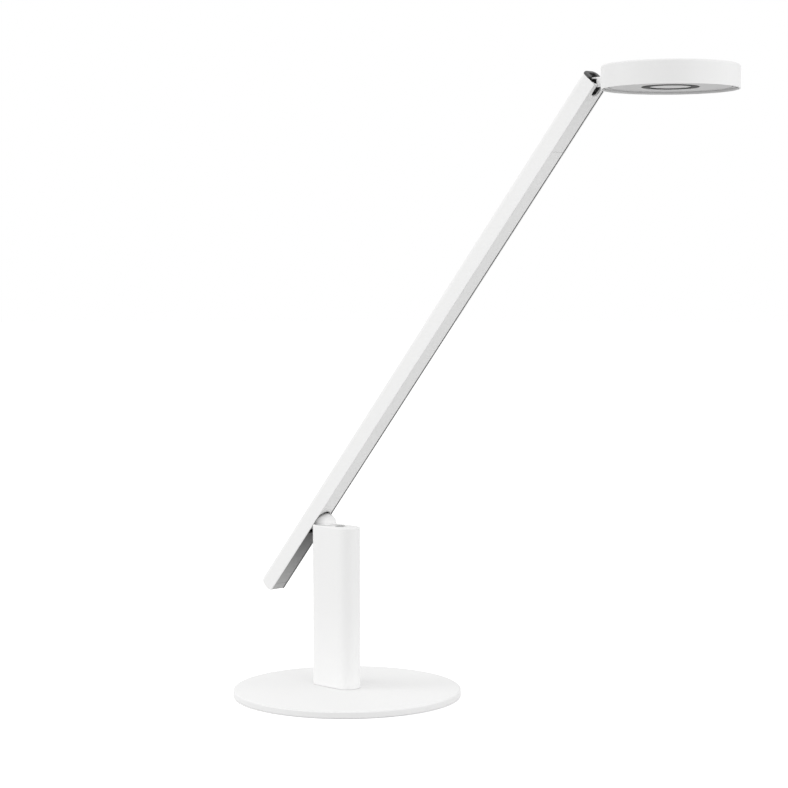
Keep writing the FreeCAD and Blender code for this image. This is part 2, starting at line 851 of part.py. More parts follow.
def main_cover():
    """Long strip, hollowed at its lower end so that it stays close to the dome at every tilt."""
    strip = along_arm(cover_section(), horn_s, seam_s - seam_gap / 2)
    return on_arm(strip.cut(upright(hollow_r, slot_head_s - hollow_r, 0, -1, arm_d)))


def top_cover():
    """Upper strip, notched at its end for the neck to swing down."""
    strip = along_arm(cover_section(), seam_s + seam_gap / 2, arm_head_s)
    folded = math.radians(arm_angle + head_fold)
    reach = (neck_h / 2 - neck_rise + notch_play) / math.sin(folded) - head_axis_v / math.tan(folded)
    round_s = head_axis_s - reach - swing_gap + notch_w / 2
    half = notch_w / 2
    notch = upright(half, round_s, 0, -1, arm_d).fuse(
        box(round_s, arm_head_s + 1, -half, half, -1, arm_d))
    return on_arm(strip.cut(notch))


def grub_hole(s):
    return upright(grub_r + thread_gap, s, grub_side, block_v - 1, arm_d)


def grub(s):
    """Set screw that jams a block in the channel."""
    body = upright(grub_r, s, grub_side, inner_top - grub_l, inner_top)
    return body.cut(upright(hex_key_r, s, grub_side, inner_top - grub_l - 1,
                            inner_top - grub_l + grub_key_l))


def lead_hole(s0, s1):
    return rod(lead_r + seat_gap, V(s0, lead_side, lead_v), V(s1, lead_side, lead_v))


bracket_grubs = (grub_inset - bracket_tail, bracket_head - grub_inset)
insert_s = arm_head_s - insert_l
insert_grubs = (insert_s + grub_inset, insert_s + insert_l / 2)


def arm_bracket():
    """Block in the channel with the lug that hangs from it to the tilt axis."""
    block = along_arm(block_section(), -bracket_tail, bracket_head)
    reach = (block_v + pivot_drop + lug_root) / math.sin(math.radians(lug_lean))
    axis = (0.0, -pivot_drop)
    top = on_circle(axis, reach, lug_lean)
    lug = outline(
        side,
        on_circle(axis, lug_half, lug_lean - 90), on_circle(top, lug_half, lug_lean - 90),
        on_circle(top, lug_half, lug_lean + 90), on_circle(axis, lug_half, lug_lean + 90),
    )
    eye = rod(lug_r, V(0, -lug_t / 2, -pivot_drop), V(0, lug_t / 2, -pivot_drop))
    body = fused(block, across(lug, lug_t), eye)
    body = cut(
        body,
        rod(axle_r + run_gap, V(0, -lug_t, -pivot_drop), V(0, lug_t, -pivot_drop)),
        lead_hole(bracket_head - lead_seat, bracket_head + 1),
        *[grub_hole(s) for s in bracket_grubs],
    )
    return on_arm(body)


def bracket_screws():
    return Part.makeCompound([on_arm(grub(s)) for s in bracket_grubs])


def arm_lead():
    """Two-core lead along the channel, held in both blocks."""
    start = bracket_head - lead_seat + swing_gap
    end = insert_s + lead_seat - swing_gap
    return on_arm(rod(lead_r, V(start, lead_side, lead_v), V(end, lead_side, lead_v)))


def nose_section():
    """Upper part of the arm's outline, for the end plate of the insert."""
    half = arm_w / 2 - seat_gap
    top = arm_d - seat_gap
    back = half - arm_back_r
    roof = top - arm_back_r
    return outline(
        section,
        (-half, nose_v), (-half, roof), (corner(-back, roof, arm_back_r, 135), (-back, top)), (back, top),
        (corner(back, roof, arm_back_r, 45), (half, roof)), (half, nose_v),
    )


def fork_half():
    """Half-width of the slot between the insert's cheeks."""
    return neck_w / 2 + run_gap + head_washer_t


def hinge_insert():
    """Block in the upper end: two cheeks for the head axle and a rounded nose over the arm's end."""
    block = along_arm(block_section(), insert_s, arm_head_s)
    nose = along_arm(nose_section(), arm_head_s, arm_head_s + nose_t)
    rim = [e for e in nose.Edges if e.BoundBox.XMin > arm_head_s + nose_t - 1e-4]
    nose = nose.makeFillet(nose_round, rim)
    body = fused(block, nose)
    half = fork_half()
    back = head_axis_s - cheek_back
    slot_top = head_axis_v + neck_rise + neck_h / 2 + swing_gap
    body = cut(
        body,
        box(back, arm_head_s, -half, half, block_v - 1, arm_d - web_t),
        box(arm_head_s - 1, arm_head_s + nose_t + 1, -half, half, nose_v - 1, slot_top),
        box(head_axis_s + cheek_tip, arm_head_s, -arm_w, arm_w, block_v - 1, nose_v),
        rod(head_axle_r + thread_gap, V(head_axis_s, -arm_w, head_axis_v), V(head_axis_s, arm_w, head_axis_v)),
        lead_hole(insert_s - 1, insert_s + lead_seat),
        *[grub_hole(s) for s in insert_grubs],
    )
    return on_arm(body)


def insert_screws():
    return Part.makeCompound([on_arm(grub(s)) for s in insert_grubs])


def head_axle():
    end = inner_half - seat_gap
    return on_arm(rod(head_axle_r, V(head_axis_s, -end, head_axis_v), V(head_axis_s, end, head_axis_v)))


def head_washers():
    half = fork_half()
    outer = neck_eye_r - seat_gap
    near = cross_ring(head_axle_r + run_gap, outer, -half, head_washer_t - half, head_axis_s, head_axis_v)
    far = cross_ring(head_axle_r + run_gap, outer, half - head_washer_t, half, head_axis_s, head_axis_v)
    return Part.makeCompound([on_arm(near), on_arm(far)])


# ================================================================ head, level at rest
head_axis = arm_placement().multVec(V(head_axis_s, 0, head_axis_v))
head_x = head_axis.x + neck_l + math.sqrt(head_r ** 2 - (neck_w / 2) ** 2)
head_bottom = head_axis.z - head_h / 2
head_top = head_bottom + head_h
plate_z = head_bottom + lip_h
bezel_top = plate_z + bezel_t
diffuser_top = plate_z + diffuser_t
web_z = diffuser_top + cup_room
board_z = web_z + cup_web_t
sink_z = board_z + board_t
sink_top = sink_z + sink_t
roof_inner = head_top - head_roof
wall_in_r = head_r - head_wall
neck_root = head_axis.x + neck_l
neck_end = neck_root + neck_tail
neck_low = head_axis.z + neck_rise - neck_h / 2
neck_top = neck_low + neck_h
shroud_roof = neck_top - shroud_t


def head_neck():
    """Tongue from the hinge eye through the head's wall, with a foot screwed to the heat sink."""
    half = tongue_w / 2
    low = neck_low + shroud_lip[1] + seat_gap
    bar = box(head_axis.x, neck_end, -half, half, low, shroud_roof - seat_gap)
    eye = rod(neck_eye_r, V(head_axis.x, -neck_w / 2, head_axis.z), V(head_axis.x, neck_w / 2, head_axis.z))
    foot_x = neck_end - neck_foot_lead
    foot = box(foot_x, foot_x + neck_foot_l, -neck_foot_w / 2, neck_foot_w / 2, sink_top, sink_top + neck_foot_t)
    body = fused(bar, eye, foot)
    body = body.cut(rod(head_axle_r + run_gap, V(head_axis.x, -neck_w, head_axis.z),
                        V(head_axis.x, neck_w, head_axis.z)))
    for x, y in neck_screw_places():
        body = body.cut(upright(column_screw[0] + seat_gap, x, y, sink_top - 1, sink_top + neck_foot_t + 1))
        body = body.cut(upright(column_screw[1] + seat_gap, x, y,
                                sink_top + neck_foot_t - column_screw[2], sink_top + neck_foot_t + 1))
    return body


def neck_cover():
    """Cover clipped over the tongue: a roof up to the hinge eye, and side walls from the head to half-way."""
    half = neck_w / 2
    room = tongue_w / 2 + seat_gap
    lip_in, lip_h = shroud_lip
    sleeve = outline(
        lambda y, z: V(head_axis.x, y, z),
        (-half, neck_low), (-half, neck_top), (half, neck_top), (half, neck_low),
        (room - lip_in, neck_low), (room - lip_in, neck_low + lip_h), (room, neck_low + lip_h),
        (room, shroud_roof), (-room, shroud_roof), (-room, neck_low + lip_h),
        (lip_in - room, neck_low + lip_h), (lip_in - room, neck_low),
    ).extrude(V(neck_l + shroud_seat, 0, 0))
    top_edges = [e for e in sleeve.Edges if e.BoundBox.XLength > neck_l and e.BoundBox.ZMin > neck_top - 1e-4]
    sleeve = sleeve.makeFillet(neck_round, top_edges)
    return cut(
        sleeve,
        rod(neck_eye_r + swing_gap, V(head_axis.x, -neck_w, head_axis.z), V(head_axis.x, neck_w, head_axis.z)),
        box(head_axis.x - 1, head_axis.x + shroud_back, -neck_w, neck_w, neck_low - 1, shroud_roof),
        box(head_axis.x - 1, head_axis.x + head_axle_r, -neck_w, neck_w, neck_low, neck_top + 1),
    )


def neck_screw_places():
    x = neck_end - neck_foot_lead + neck_foot_l - neck_screw_inset[0]
    y = neck_foot_w / 2 - neck_screw_inset[1]
    return ((x, -y), (x, y))


def neck_screws():
    screws = []
    top = sink_top + neck_foot_t
    for x, y in neck_screw_places():
        head = upright(column_screw[1], x, y, top - column_screw[2], top)
        shank = upright(column_screw[0], x, y, sink_z + 2 * sink_skin, top - column_screw[2])
        key = upright(hex_key_r, x, y, top - column_screw[2] / 2, top + 1)
        screws.append(head.fuse(shank).cut(key))
    return Part.makeCompound(screws)


def neck_room():
    """Room for the tongue and its cover inside the head's rim."""
    half = neck_w / 2 + seat_gap
    return box(neck_root - neck_w, neck_end + seat_gap, -half, half, neck_low - seat_gap, neck_top + seat_gap)


def foot_room():
    """Room for the neck's foot among the fins."""
    x = neck_end - neck_foot_lead
    half = neck_foot_w / 2 + seat_gap
    return box(x - seat_gap, x + neck_foot_l + seat_gap, -half, half, sink_top, roof_inner + 1)


def head_boss_places():
    return [on_circle((head_x, 0.0), head_boss_ring, angle) for angle in head_boss_angles]


def head_housing():
    """Shallow drum with a thin lip round its open underside."""
    half = outline(
        side,
        (head_x, roof_inner), (head_x + wall_in_r, roof_inner), (head_x + wall_in_r, bezel_top),
        (head_x + head_r - lip_t, bezel_top), (head_x + head_r - lip_t, head_bottom),
        (head_x + head_r, head_bottom), (head_x + head_r, head_top - head_rim),
        (on_circle((head_x + head_r - head_rim, head_top - head_rim), head_rim, 45),
         (head_x + head_r - head_rim, head_top)),
        (head_x, head_top),
    )
    drum = turned(half, head_x)
    for x, y in head_boss_places():
        boss = upright(head_boss_r, x, y, sink_top, roof_inner)
        tapped = upright(column_screw[0] + thread_gap, x, y, sink_top - 1, roof_inner)
        drum = drum.fuse(boss.cut(tapped))
    return drum.cut(neck_room()).removeSplitter()


def heat_sink():
    """Disc with radial fins, cut back round the bosses and the neck's foot."""
    disc = upright(sink_r, head_x, 0, sink_z, sink_top)
    fins = []
    for i in range(fin_count):
        fin = box(head_x + fin_in_r, head_x + fin_out_r, -fin_t / 2, fin_t / 2, sink_top - fin_root, sink_top + fin_h)
        fin.rotate(V(head_x, 0, 0), Z_AXIS, 360.0 * (i + 0.5) / fin_count)
        fins.append(fin)
    body = fused(disc, *fins)
    for x, y in head_boss_places():
        body = body.cut(upright(head_boss_r + seat_gap, x, y, sink_top, sink_top + fin_h + 1))
        body = body.cut(upright(column_screw[0] + seat_gap, x, y, sink_z - 1, sink_top + 1))
    for x, y in neck_screw_places():
        body = body.cut(upright(column_screw[0] + thread_gap, x, y, sink_z + sink_skin, sink_top + 1))
    return cut(body, neck_room(), foot_room())


def head_screws():
    """Screws from below through board and heat sink into the housing's bosses."""
    screws = []
    for x, y in head_boss_places():
        head = upright(column_screw[1], x, y, board_z - column_screw[2], board_z)
        shank = upright(column_screw[0], x, y, board_z, sink_top + head_screw_grip)
        key = upright(hex_key_r, x, y, board_z - column_screw[2] - 1, board_z - column_screw[2] / 2)
        screws.append(head.fuse(shank).cut(key))
    return Part.makeCompound(screws)


def led_board():
    board = ring(board_in_r, board_out_r, board_z, sink_z, head_x)
    for x, y in head_boss_places():
        board = board.cut(upright(column_screw[0] + seat_gap, x, y, board_z - 1, sink_z + 1))
    return board.cut(neck_room())


def chip_places():
    return [on_circle((head_x, 0.0), chip_ring_r, 360.0 * (i + 0.5) / chip_count) for i in range(chip_count)]


def led_chips():
    half = chip_size / 2
    chips = []
    for i, (x, y) in enumerate(chip_places()):
        chip = box(x - half, x + half, y - half, y + half, board_z - chip_t, board_z)
        chip.rotate(V(x, y, 0), Z_AXIS, 360.0 * (i + 0.5) / chip_count)
        chips.append(chip)
    return Part.makeCompound(chips)


def reflector_cup():
    """White tray under the board: rim wall, inner wall and a web with a hole for each chip."""
    outer = wall_in_r - seat_gap
    hub = sleeve_r + seat_gap
    lip_r = bezel_in_r - cup_lip_w
    half = outline(
        side,
        (head_x + hub, diffuser_top), (head_x + diffuser_in_r + cup_lip_w, diffuser_top),
        (head_x + diffuser_in_r + cup_lip_w, web_z), (head_x + lip_r, web_z), (head_x + lip_r, diffuser_top),
        (head_x + bezel_in_r, diffuser_top), (head_x + bezel_in_r, bezel_top), (head_x + outer, bezel_top),
        (head_x + outer, board_z), (head_x + hub, board_z),
    )
    cup = turned(half, head_x)
    for x, y in chip_places():
        cup = cup.cut(upright(chip_hole_r, x, y, web_z - 1, board_z + 1))
    for x, y in head_boss_places():
        cup = cup.cut(upright(column_screw[1] + seat_gap, x, y, web_z - cup_room, board_z + 1))
    return cup.cut(neck_room())


def diffuser_ring():
    return ring(diffuser_in_r, bezel_in_r - diffuser_gap, plate_z, diffuser_top, head_x)


def outer_bezel():
    return ring(bezel_in_r, head_r - lip_t - seat_gap, plate_z, bezel_top, head_x)


def centre_ring():
    """Dark ring in the middle of the diffuser, with a sleeve up to the board and a seat for the disc."""
    low = plate_z - ring_proud
    seat = low + disc_recess + disc_t
    seat_w, seat_h = disc_seat
    half = outline(
        side,
        (head_x + ring_in_r, low), (head_x + ring_out_r, low), (head_x + ring_out_r, diffuser_top - seat_gap),
        (head_x + sleeve_r, diffuser_top - seat_gap), (head_x + sleeve_r, board_z),
        (head_x + sleeve_r - sleeve_t, board_z), (head_x + sleeve_r - sleeve_t, seat + seat_h),
        (head_x + ring_in_r - seat_w, seat + seat_h), (head_x + ring_in_r - seat_w, seat),
        (head_x + ring_in_r, seat),
    )
    return turned(half, head_x)


def centre_disc():
    low = plate_z - ring_proud + disc_recess
    return upright(ring_in_r - seat_gap, head_x, 0, low, low + disc_t)


# ================================================================ write the nodes
NODES = (
    base_pad, base_plate, base_screws, column_screws, column_plug, column_shell, swivel_bush,
    power_button, switch_plunger, snap_switch, switch_board, board_screws, driver_board,
    power_inlet, inlet_contact,
    turret_dome, stop_washer, disc_spring, spindle_nut, tilt_axle, tilt_washers,
    arm_profile, end_cap, tail_cover, main_cover, top_cover, arm_bracket, bracket_screws, arm_lead,
    hinge_insert, insert_screws, head_axle, head_washers,
    head_neck, neck_cover, neck_screws, head_housing, heat_sink, head_screws, led_board, led_chips,
    reflector_cup, diffuser_ring, outer_bezel, centre_ring, centre_disc,
)

os.makedirs("parts", exist_ok=True)
for node in NODES:
    shape = node()
    shape.exportStep("parts/%s.step" % node.__name__)
    print("%-16s solids %2d  volume %10.1f  valid %s" % (
        node.__name__, len(shape.Solids), sum(s.Volume for s in shape.Solids), shape.isValid()))
print("tilt axis  X %.2f  Z %.2f" % (swivel_x, tilt_z))
print("head axis  X %.2f  Z %.2f" % (head_axis.x, head_axis.z))
print("head       X %.2f  Z %.2f to %.2f" % (head_x, head_bottom, head_top))
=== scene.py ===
# %% [markdown]
# # A swing arm desk lamp, dressed for its portrait
#
# The lamp's solids come from the CAD frame: every piece is already in its place, in metres, with the
# foot's underside on the floor. The solids carry all the shapes, so this lesson adds none. It gives
# each piece a finish, and then sets up a plain daylight studio round the lamp.
#
# The frame comes first, because every later step reads its places from it. The box of the untouched
# frame is kept, so that the last cell can show that dressing the lamp didn't make it grow.

# %% Load the frame
import json
import math

import bmesh
import bpy
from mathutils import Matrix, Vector


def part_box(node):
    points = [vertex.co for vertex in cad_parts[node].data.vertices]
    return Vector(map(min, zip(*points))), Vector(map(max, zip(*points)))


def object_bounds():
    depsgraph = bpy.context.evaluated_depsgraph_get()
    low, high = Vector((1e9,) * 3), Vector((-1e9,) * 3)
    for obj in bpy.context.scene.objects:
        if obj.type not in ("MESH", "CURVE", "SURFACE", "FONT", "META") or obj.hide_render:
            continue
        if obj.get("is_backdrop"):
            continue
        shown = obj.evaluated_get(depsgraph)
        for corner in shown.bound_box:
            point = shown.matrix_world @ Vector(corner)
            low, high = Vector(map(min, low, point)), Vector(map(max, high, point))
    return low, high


MM = 0.001
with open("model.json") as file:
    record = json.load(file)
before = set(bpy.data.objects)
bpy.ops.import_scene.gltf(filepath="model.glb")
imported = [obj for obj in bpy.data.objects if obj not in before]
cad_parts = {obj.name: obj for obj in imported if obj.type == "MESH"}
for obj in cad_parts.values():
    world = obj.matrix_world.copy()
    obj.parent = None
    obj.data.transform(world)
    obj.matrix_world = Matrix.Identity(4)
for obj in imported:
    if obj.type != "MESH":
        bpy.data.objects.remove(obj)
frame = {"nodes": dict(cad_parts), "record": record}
cad_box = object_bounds()
nodes = frame["nodes"]
print("size in mm:", [round(side / MM, 1) for side in cad_box[1] - cad_box[0]])

# %% [markdown]
# ## Writing finishes as sums
#
# A finish is a small graph of nodes. Wiring it by hand hides what it means, so one class wraps a
# socket and lets Python's own operators add the Math nodes: `grain * 0.2 + 0.4` reads like what it
# does. A comparison gives 1 or 0, so it makes a mask, and `|` takes the larger of two masks.


# %% Sockets that can be added and multiplied
class Signal:
    """The value of a socket, which may vary over a surface."""

    def __init__(self, graph, socket):
        self.graph, self.socket = graph, socket

    def maths(self, operation, first, second):
        made = self.graph.node("ShaderNodeMath", {"operation": operation}, {0: first, 1: second})
        return made["Value"]

    def __add__(self, other):
        return self.maths("ADD", self, other)

    def __radd__(self, other):
        return self.maths("ADD", other, self)

    def __sub__(self, other):
        return self.maths("SUBTRACT", self, other)

    def __rsub__(self, other):
        return self.maths("SUBTRACT", other, self)

    def __mul__(self, other):
        return self.maths("MULTIPLY", self, other)

    def __rmul__(self, other):
        return self.maths("MULTIPLY", other, self)

    def __pow__(self, other):
        return self.maths("POWER", self, other)

    def __lt__(self, other):
        return self.maths("LESS_THAN", self, other)

    def __gt__(self, other):
        return self.maths("GREATER_THAN", self, other)

    def __abs__(self):
        return self.maths("ABSOLUTE", self, 0.0)

    def __or__(self, other):
        return self.maths("MAXIMUM", self, other)


# %% [markdown]
# Every other node comes from one method of the graph. It takes the node's type, its settings and the
# values or links of its sockets, and hands back the node's outputs by name. A socket is named by its
# label, or by its number where two share a label.


# %% A graph of nodes, and the outputs of one node
class Outputs:
    """The outputs of a node, by name, each as a Signal."""

    def __init__(self, graph, made):
        self.graph, self.made = graph, made

    def __getitem__(self, name):
        live = [s for s in self.made.outputs if s.name == name and s.enabled]
        return Signal(self.graph, live[0])


class Graph:
    """The node tree of a material or of the world."""

    def __init__(self, owner):
        owner.use_nodes = True
        self.tree = owner.node_tree
        self.tree.nodes.clear()

    def node(self, kind, settings=None, sockets=None):
        """Adds a node of that kind, sets its settings, and then fills or links its sockets."""
        made = self.tree.nodes.new(kind)
        for name, value in (settings or {}).items():
            setattr(made, name, value)
        for name, value in (sockets or {}).items():
            if isinstance(name, int):
                socket = made.inputs[name]
            else:
                socket = [s for s in made.inputs if s.name == name and s.enabled][0]
            if isinstance(value, Signal):
                self.tree.links.new(value.socket, socket)
            else:
                socket.default_value = value
        return Outputs(self, made)

    def seen(self):
        """1 where the surface is looked at, straight, mirrored or through something clear, else 0."""
        path = self.node("ShaderNodeLightPath")
        return path["Is Camera Ray"] | path["Is Glossy Ray"] | path["Is Transmission Ray"]


# %% [markdown]
# A finish is such a graph that starts from the place on the piece and ends in a Principled shader.
# The place is the Object coordinate. Every piece's place is in its mesh, so a pattern runs on from
# one piece to the next, and it stays on its piece when the lamp is posed.


# %% A finish
def grey(level, warmth=0.0):
    """A nearly neutral colour. Warmth takes a little blue away."""
    return (level, level * (1 - 0.2 * warmth), level * (1 - warmth), 1.0)


class Finish(Graph):
    """A material, with the place on the piece as its first node."""

    def __init__(self, name):
        self.material = bpy.data.materials.new(name)
        super().__init__(self.material)
        self.place = self.node("ShaderNodeTexCoord")["Object"]

    def axes(self, place=None):
        """The X, Y and Z of a place, each as a Signal."""
        return self.node("ShaderNodeSeparateXYZ", None, {"Vector": place or self.place})

    def reach(self, x):
        """The squared distance from an upright axis at that x, with y at 0."""
        spot = self.axes()
        return (spot["X"] - x) ** 2 + spot["Y"] ** 2

    def noise(self, size, detail=2.0):
        """Soft blotches of about that size in metres, from 0 to 1."""
        sockets = {"Vector": self.place, "Scale": 1 / size, "Detail": detail}
        return self.node("ShaderNodeTexNoise", None, sockets)["Fac"]

    def between(self, factor, first, second):
        """A colour that goes from the first to the second as the factor goes from 0 to 1."""
        sockets = {"Factor": factor, "A": first, "B": second}
        return self.node("ShaderNodeMix", {"data_type": "RGBA"}, sockets)["Result"]

    def with_painted_shade(self, colour, where, level):
        """The colour with painted shade: a grey of that level, mixed in as the mask goes from 0 to 1.
        """
        return colour if where is None else self.between(where(self), colour, grey(level))

    def spread(self, value, low, high, to_low=0.0, to_high=1.0):
        """The value's stretch from low to high, spread over to_low to to_high and held beyond it."""
        ends = {"From Min": low, "From Max": high, "To Min": to_low, "To Max": to_high}
        return self.node("ShaderNodeMapRange", None, {"Value": value, **ends})["Result"]

    def bump(self, height, depth):
        """A normal for a relief that many metres deep."""
        sockets = {"Height": height, "Distance": depth, "Strength": 1.0}
        return self.node("ShaderNodeBump", None, sockets)["Normal"]

    def principled(self, sockets):
        """Ends the graph in a Principled shader with these sockets, and returns the material."""
        shader = self.node("ShaderNodeBsdfPrincipled", None, sockets)["BSDF"]
        self.node("ShaderNodeOutputMaterial", None, {"Surface": shader})
        print(f"{self.material.name}: {len(self.tree.nodes)} nodes")
        return self.material


# %% [markdown]
# ## Matt white powder coat
#
# The column, dome, arm, neck and head are aluminium under a fine matt powder coat, and the foot is
# steel under the same. Powder melts into a skin with a faint orange peel about half a millimetre
# across and a finer tooth on top of it. The colour is even, but never perfectly: it drifts by a
# percent or so across a hand's breadth, and the sheen drifts with it.
#
# Three sizes of noise give this: a wide one for the drift, a middle one for the peel, and a fine one
# for the tooth. The relief is only a few hundredths of a millimetre deep, so that light still lies
# flat on it. The head has the same coat in a slightly deeper grey.
#
# Some deep and covered places should look darker than the studio's soft light leaves them. So the
# function also takes a mask, and mixes a darker grey in where the mask is 1. That shade is paint: it
# stays when the lamp is posed or lit in another way, which is the price of doing it like this.

# %% Powder coat on any metal
WHITE = 0.84
HEAD_WHITE = 0.79
WARM = 0.004
DRIFT = 60 * MM
DRIFT_DARK = 0.985    # the darkest white, against the palest
DRIFT_SHEEN = 0.08
PEEL_SHEEN = 0.10
PEEL_SHARE = 0.7      # of the relief, the rest being the tooth
COAT_GLOSS = 0.4


def powder_coat(name, level=WHITE, peel=0.6 * MM, depth=0.03 * MM, roughness=0.50,
                painted_shade_where=None, painted_shade_level=0.0):
    coat = Finish(name)
    drift = coat.noise(DRIFT)
    skin = coat.noise(peel)
    tooth = coat.noise(peel / 4, detail=1.0)
    colour = coat.between(drift, grey(level * DRIFT_DARK, WARM), grey(level, WARM / 2))
    return coat.principled({
        "Base Color": coat.with_painted_shade(colour, painted_shade_where, painted_shade_level),
        "Roughness": roughness + DRIFT_SHEEN * (drift - 0.5) + PEEL_SHEEN * (skin - 0.5),
        "Normal": coat.bump(skin * PEEL_SHARE + tooth * (1 - PEEL_SHARE), depth),
        "Specular IOR Level": COAT_GLOSS,
    })


white_alloy = powder_coat("white_alloy_coat")
white_steel = powder_coat("white_steel_coat", peel=0.8 * MM, depth=0.04 * MM, roughness=0.52)
head_coat = powder_coat("head_coat", HEAD_WHITE)

# %% [markdown]
# ### The arm's channel
#
# The first place of painted shade is the arm's channel: shade painted on its inner walls makes a thin
# dark line beside each cover strip. The mask is easiest to say along and across the arm, so a Mapping
# node turns the place into the arm's own frame, with the tilt axis as its centre.

# %% The arm, dark inside its channel
ARM_ANGLE = math.radians(49.05)
OPEN_FACE = 3.3 * MM      # the channel's open side above the tilt axis
WALL_HALF = 7.37 * MM     # half the channel's inner width
WHITE_LIP = 0.25 * MM     # left white at the channel's mouth
CHANNEL = 10.0 * MM       # how deep in the walls can be seen
# The grey of the shade painted on the channel's inner walls.
CHANNEL_SHADE_GREY = 0.12
joints = {joint["name"]: joint for joint in frame["record"]["behaviour"]["joints"]}
pivot = joints["arm_tilt"]["pos_m"]
print("tilt axis in mm:", [round(side / MM, 2) for side in pivot])


def arm_axes(finish):
    """From the tilt axis: X runs up along the arm, Y across it and Z out of its back."""
    turned = finish.node("ShaderNodeMapping", {"vector_type": "TEXTURE"}, {
        "Vector": finish.place, "Location": pivot, "Rotation": (0.0, -ARM_ANGLE, 0.0)})["Vector"]
    return finish.axes(turned)


def inside_channel(coat):
    """1 on the walls inside the arm's channel, where shade is painted."""
    arm = arm_axes(coat)
    within = (abs(arm["Y"]) < WALL_HALF) * (arm["Z"] > OPEN_FACE + WHITE_LIP)
    return within * (arm["Z"] < OPEN_FACE + CHANNEL)


arm_coat_and_shade = powder_coat("arm_coat_and_shade", painted_shade_where=inside_channel, painted_shade_level=CHANNEL_SHADE_GREY)

# %% [markdown]
# ### The button's hole
#
# The button's cap lies a millimetre below the column's top. Shade is painted on the wall of its hole,
# so that it draws a short dash on the top. The places are read from the column and the button.

# %% The column, dark inside the button's hole
HOLE_R = 4.9 * MM         # just outside the hole's wall
HOLE_LIP = 0.1 * MM       # left white at the hole's mouth
# The grey of the shade painted in the hole.
HOLE_SHADE_GREY = 0.30
column_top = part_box("column_shell")[1].z
button_low, button_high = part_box("power_button")
button_x = (button_low.x + button_high.x) / 2
print(f"column top {column_top / MM:.2f} mm, button axis at x {button_x / MM:.2f} mm")


def inside_hole(coat):
    """1 on the wall of the hole that the button sits in, where shade is painted."""
    return (coat.reach(button_x) < HOLE_R ** 2) * (coat.axes()["Z"] < column_top - HOLE_LIP)


column_coat_and_shade = powder_coat("column_coat_and_shade", painted_shade_where=inside_hole, painted_shade_level=HOLE_SHADE_GREY)

# %% [markdown]
# ### The dome
#
# The arm lies close over the dome on the side of its tail, and shade is painted on the dome there.
# The painted shade is full on that side and fades out towards the front. It can be seen when the arm
# is level and leaves the dome in the open.

# %% The dome, dark under the arm
SHADE_FRONT = 6.6 * MM    # before the swivel axis, where the grey begins
SHADE_BACK = 3.5 * MM     # behind the axis, where it is full
# The grey of the shade painted under the arm.
DOME_SHADE_GREY = 0.20


def under_arm(coat):
    """The painted shade on the dome: rises from 0 to 1 over its flank, towards the arm's tail."""
    return coat.spread(pivot[0] - coat.axes()["X"], -SHADE_FRONT, SHADE_BACK)


dome_coat_and_shade = powder_coat("dome_coat_and_shade", painted_shade_where=under_arm, painted_shade_level=DOME_SHADE_GREY)

# %% [markdown]
# ## Moulded plastics
#
# The cover strips, the button, the end cap and the light chamber's parts are moulded. A mould is
# eroded by sparks, which leaves a dense even grain on the plastic, with no peel. The grain is cells
# rather than clouds, so it comes from Voronoi distance. The colour and the sheen drift a little, as
# the plastic flowed. The pad's rubber and the lead's sheath are made the same way, with a grain of
# their own. A mask can paint shade onto a part of the piece here too.

# %% Moulded plastic of any grey
FLOW = 25 * MM
FLOW_DARK, FLOW_PALE = 0.97, 1.02
FLOW_SHEEN = 0.10
CELL_SHEEN = 0.08


def moulded(name, level, grain=0.4 * MM, depth=0.02 * MM, roughness=0.50, warmth=0.0, gloss=0.5,
            painted_shade_where=None, painted_shade_level=0.0):
    plastic = Finish(name)
    sockets = {"Vector": plastic.place, "Scale": 1 / grain}
    cells = plastic.node("ShaderNodeTexVoronoi", None, sockets)["Distance"]
    flow = plastic.noise(FLOW, detail=3.0)
    dark, pale = grey(level * FLOW_DARK, warmth), grey(level * FLOW_PALE, warmth)
    return plastic.principled({
        "Base Color": plastic.with_painted_shade(plastic.between(flow, dark, pale), painted_shade_where, painted_shade_level),
        "Roughness": roughness + FLOW_SHEEN * (flow - 0.5) - CELL_SHEEN * cells,
        "Normal": plastic.bump(cells, depth),
        "Specular IOR Level": gloss,
    })


dark_mould = {"grain": 0.5 * MM, "depth": 0.03 * MM}
white_plastic = moulded("white_moulded", 0.82, roughness=0.48, warmth=WARM)
dark_plastic = moulded("anthracite_moulded", 0.055, **dark_mould)
ring_plastic = moulded("ring_moulded", 0.030, **dark_mould, roughness=0.60, gloss=0.05)
black_plastic = moulded("black_moulded", 0.020, **dark_mould, roughness=0.45)
bearing_plastic = moulded("bearing_moulded", 0.035, grain=0.9 * MM, depth=0.01 * MM, roughness=0.35)
rubber_pad = moulded("grained_rubber", 0.62, grain=0.8 * MM, depth=0.08 * MM, roughness=0.80)
lead_sheath = moulded("white_sheath", 0.70, grain=1.5 * MM, depth=0.01 * MM, roughness=0.40)

# %% [markdown]
# ### Under the tail
#
# The strip under the tail and the cap beside it face down, close beside the column, and look much
# darker than the other covers. Their shade is painted as well: mid grey on the cap and at its end of
# the strip, and nearly black where the slot for the hub begins. Both ends are measured on the strip.

# %% The cap, and the strip that darkens towards the slot
# The greys of the shade painted on the cap and the strip.
TAIL_SHADE_GREY = 0.40
SLOT_SHADE_GREY = 0.05
along_x, along_z = math.cos(ARM_ANGLE), math.sin(ARM_ANGLE)
along = [(corner.co.x - pivot[0]) * along_x + (corner.co.z - pivot[2]) * along_z
         for corner in nodes["tail_cover"].data.vertices]
tail_end, slot_end = min(along), max(along)
print(f"tail strip from {tail_end / MM:.1f} to {slot_end / MM:.1f} mm along the arm")


def towards_slot(plastic):
    """Painted shade: rises from 0 at the cap's end of the strip to 1 at the slot."""
    return plastic.spread(arm_axes(plastic)["X"], tail_end, slot_end)


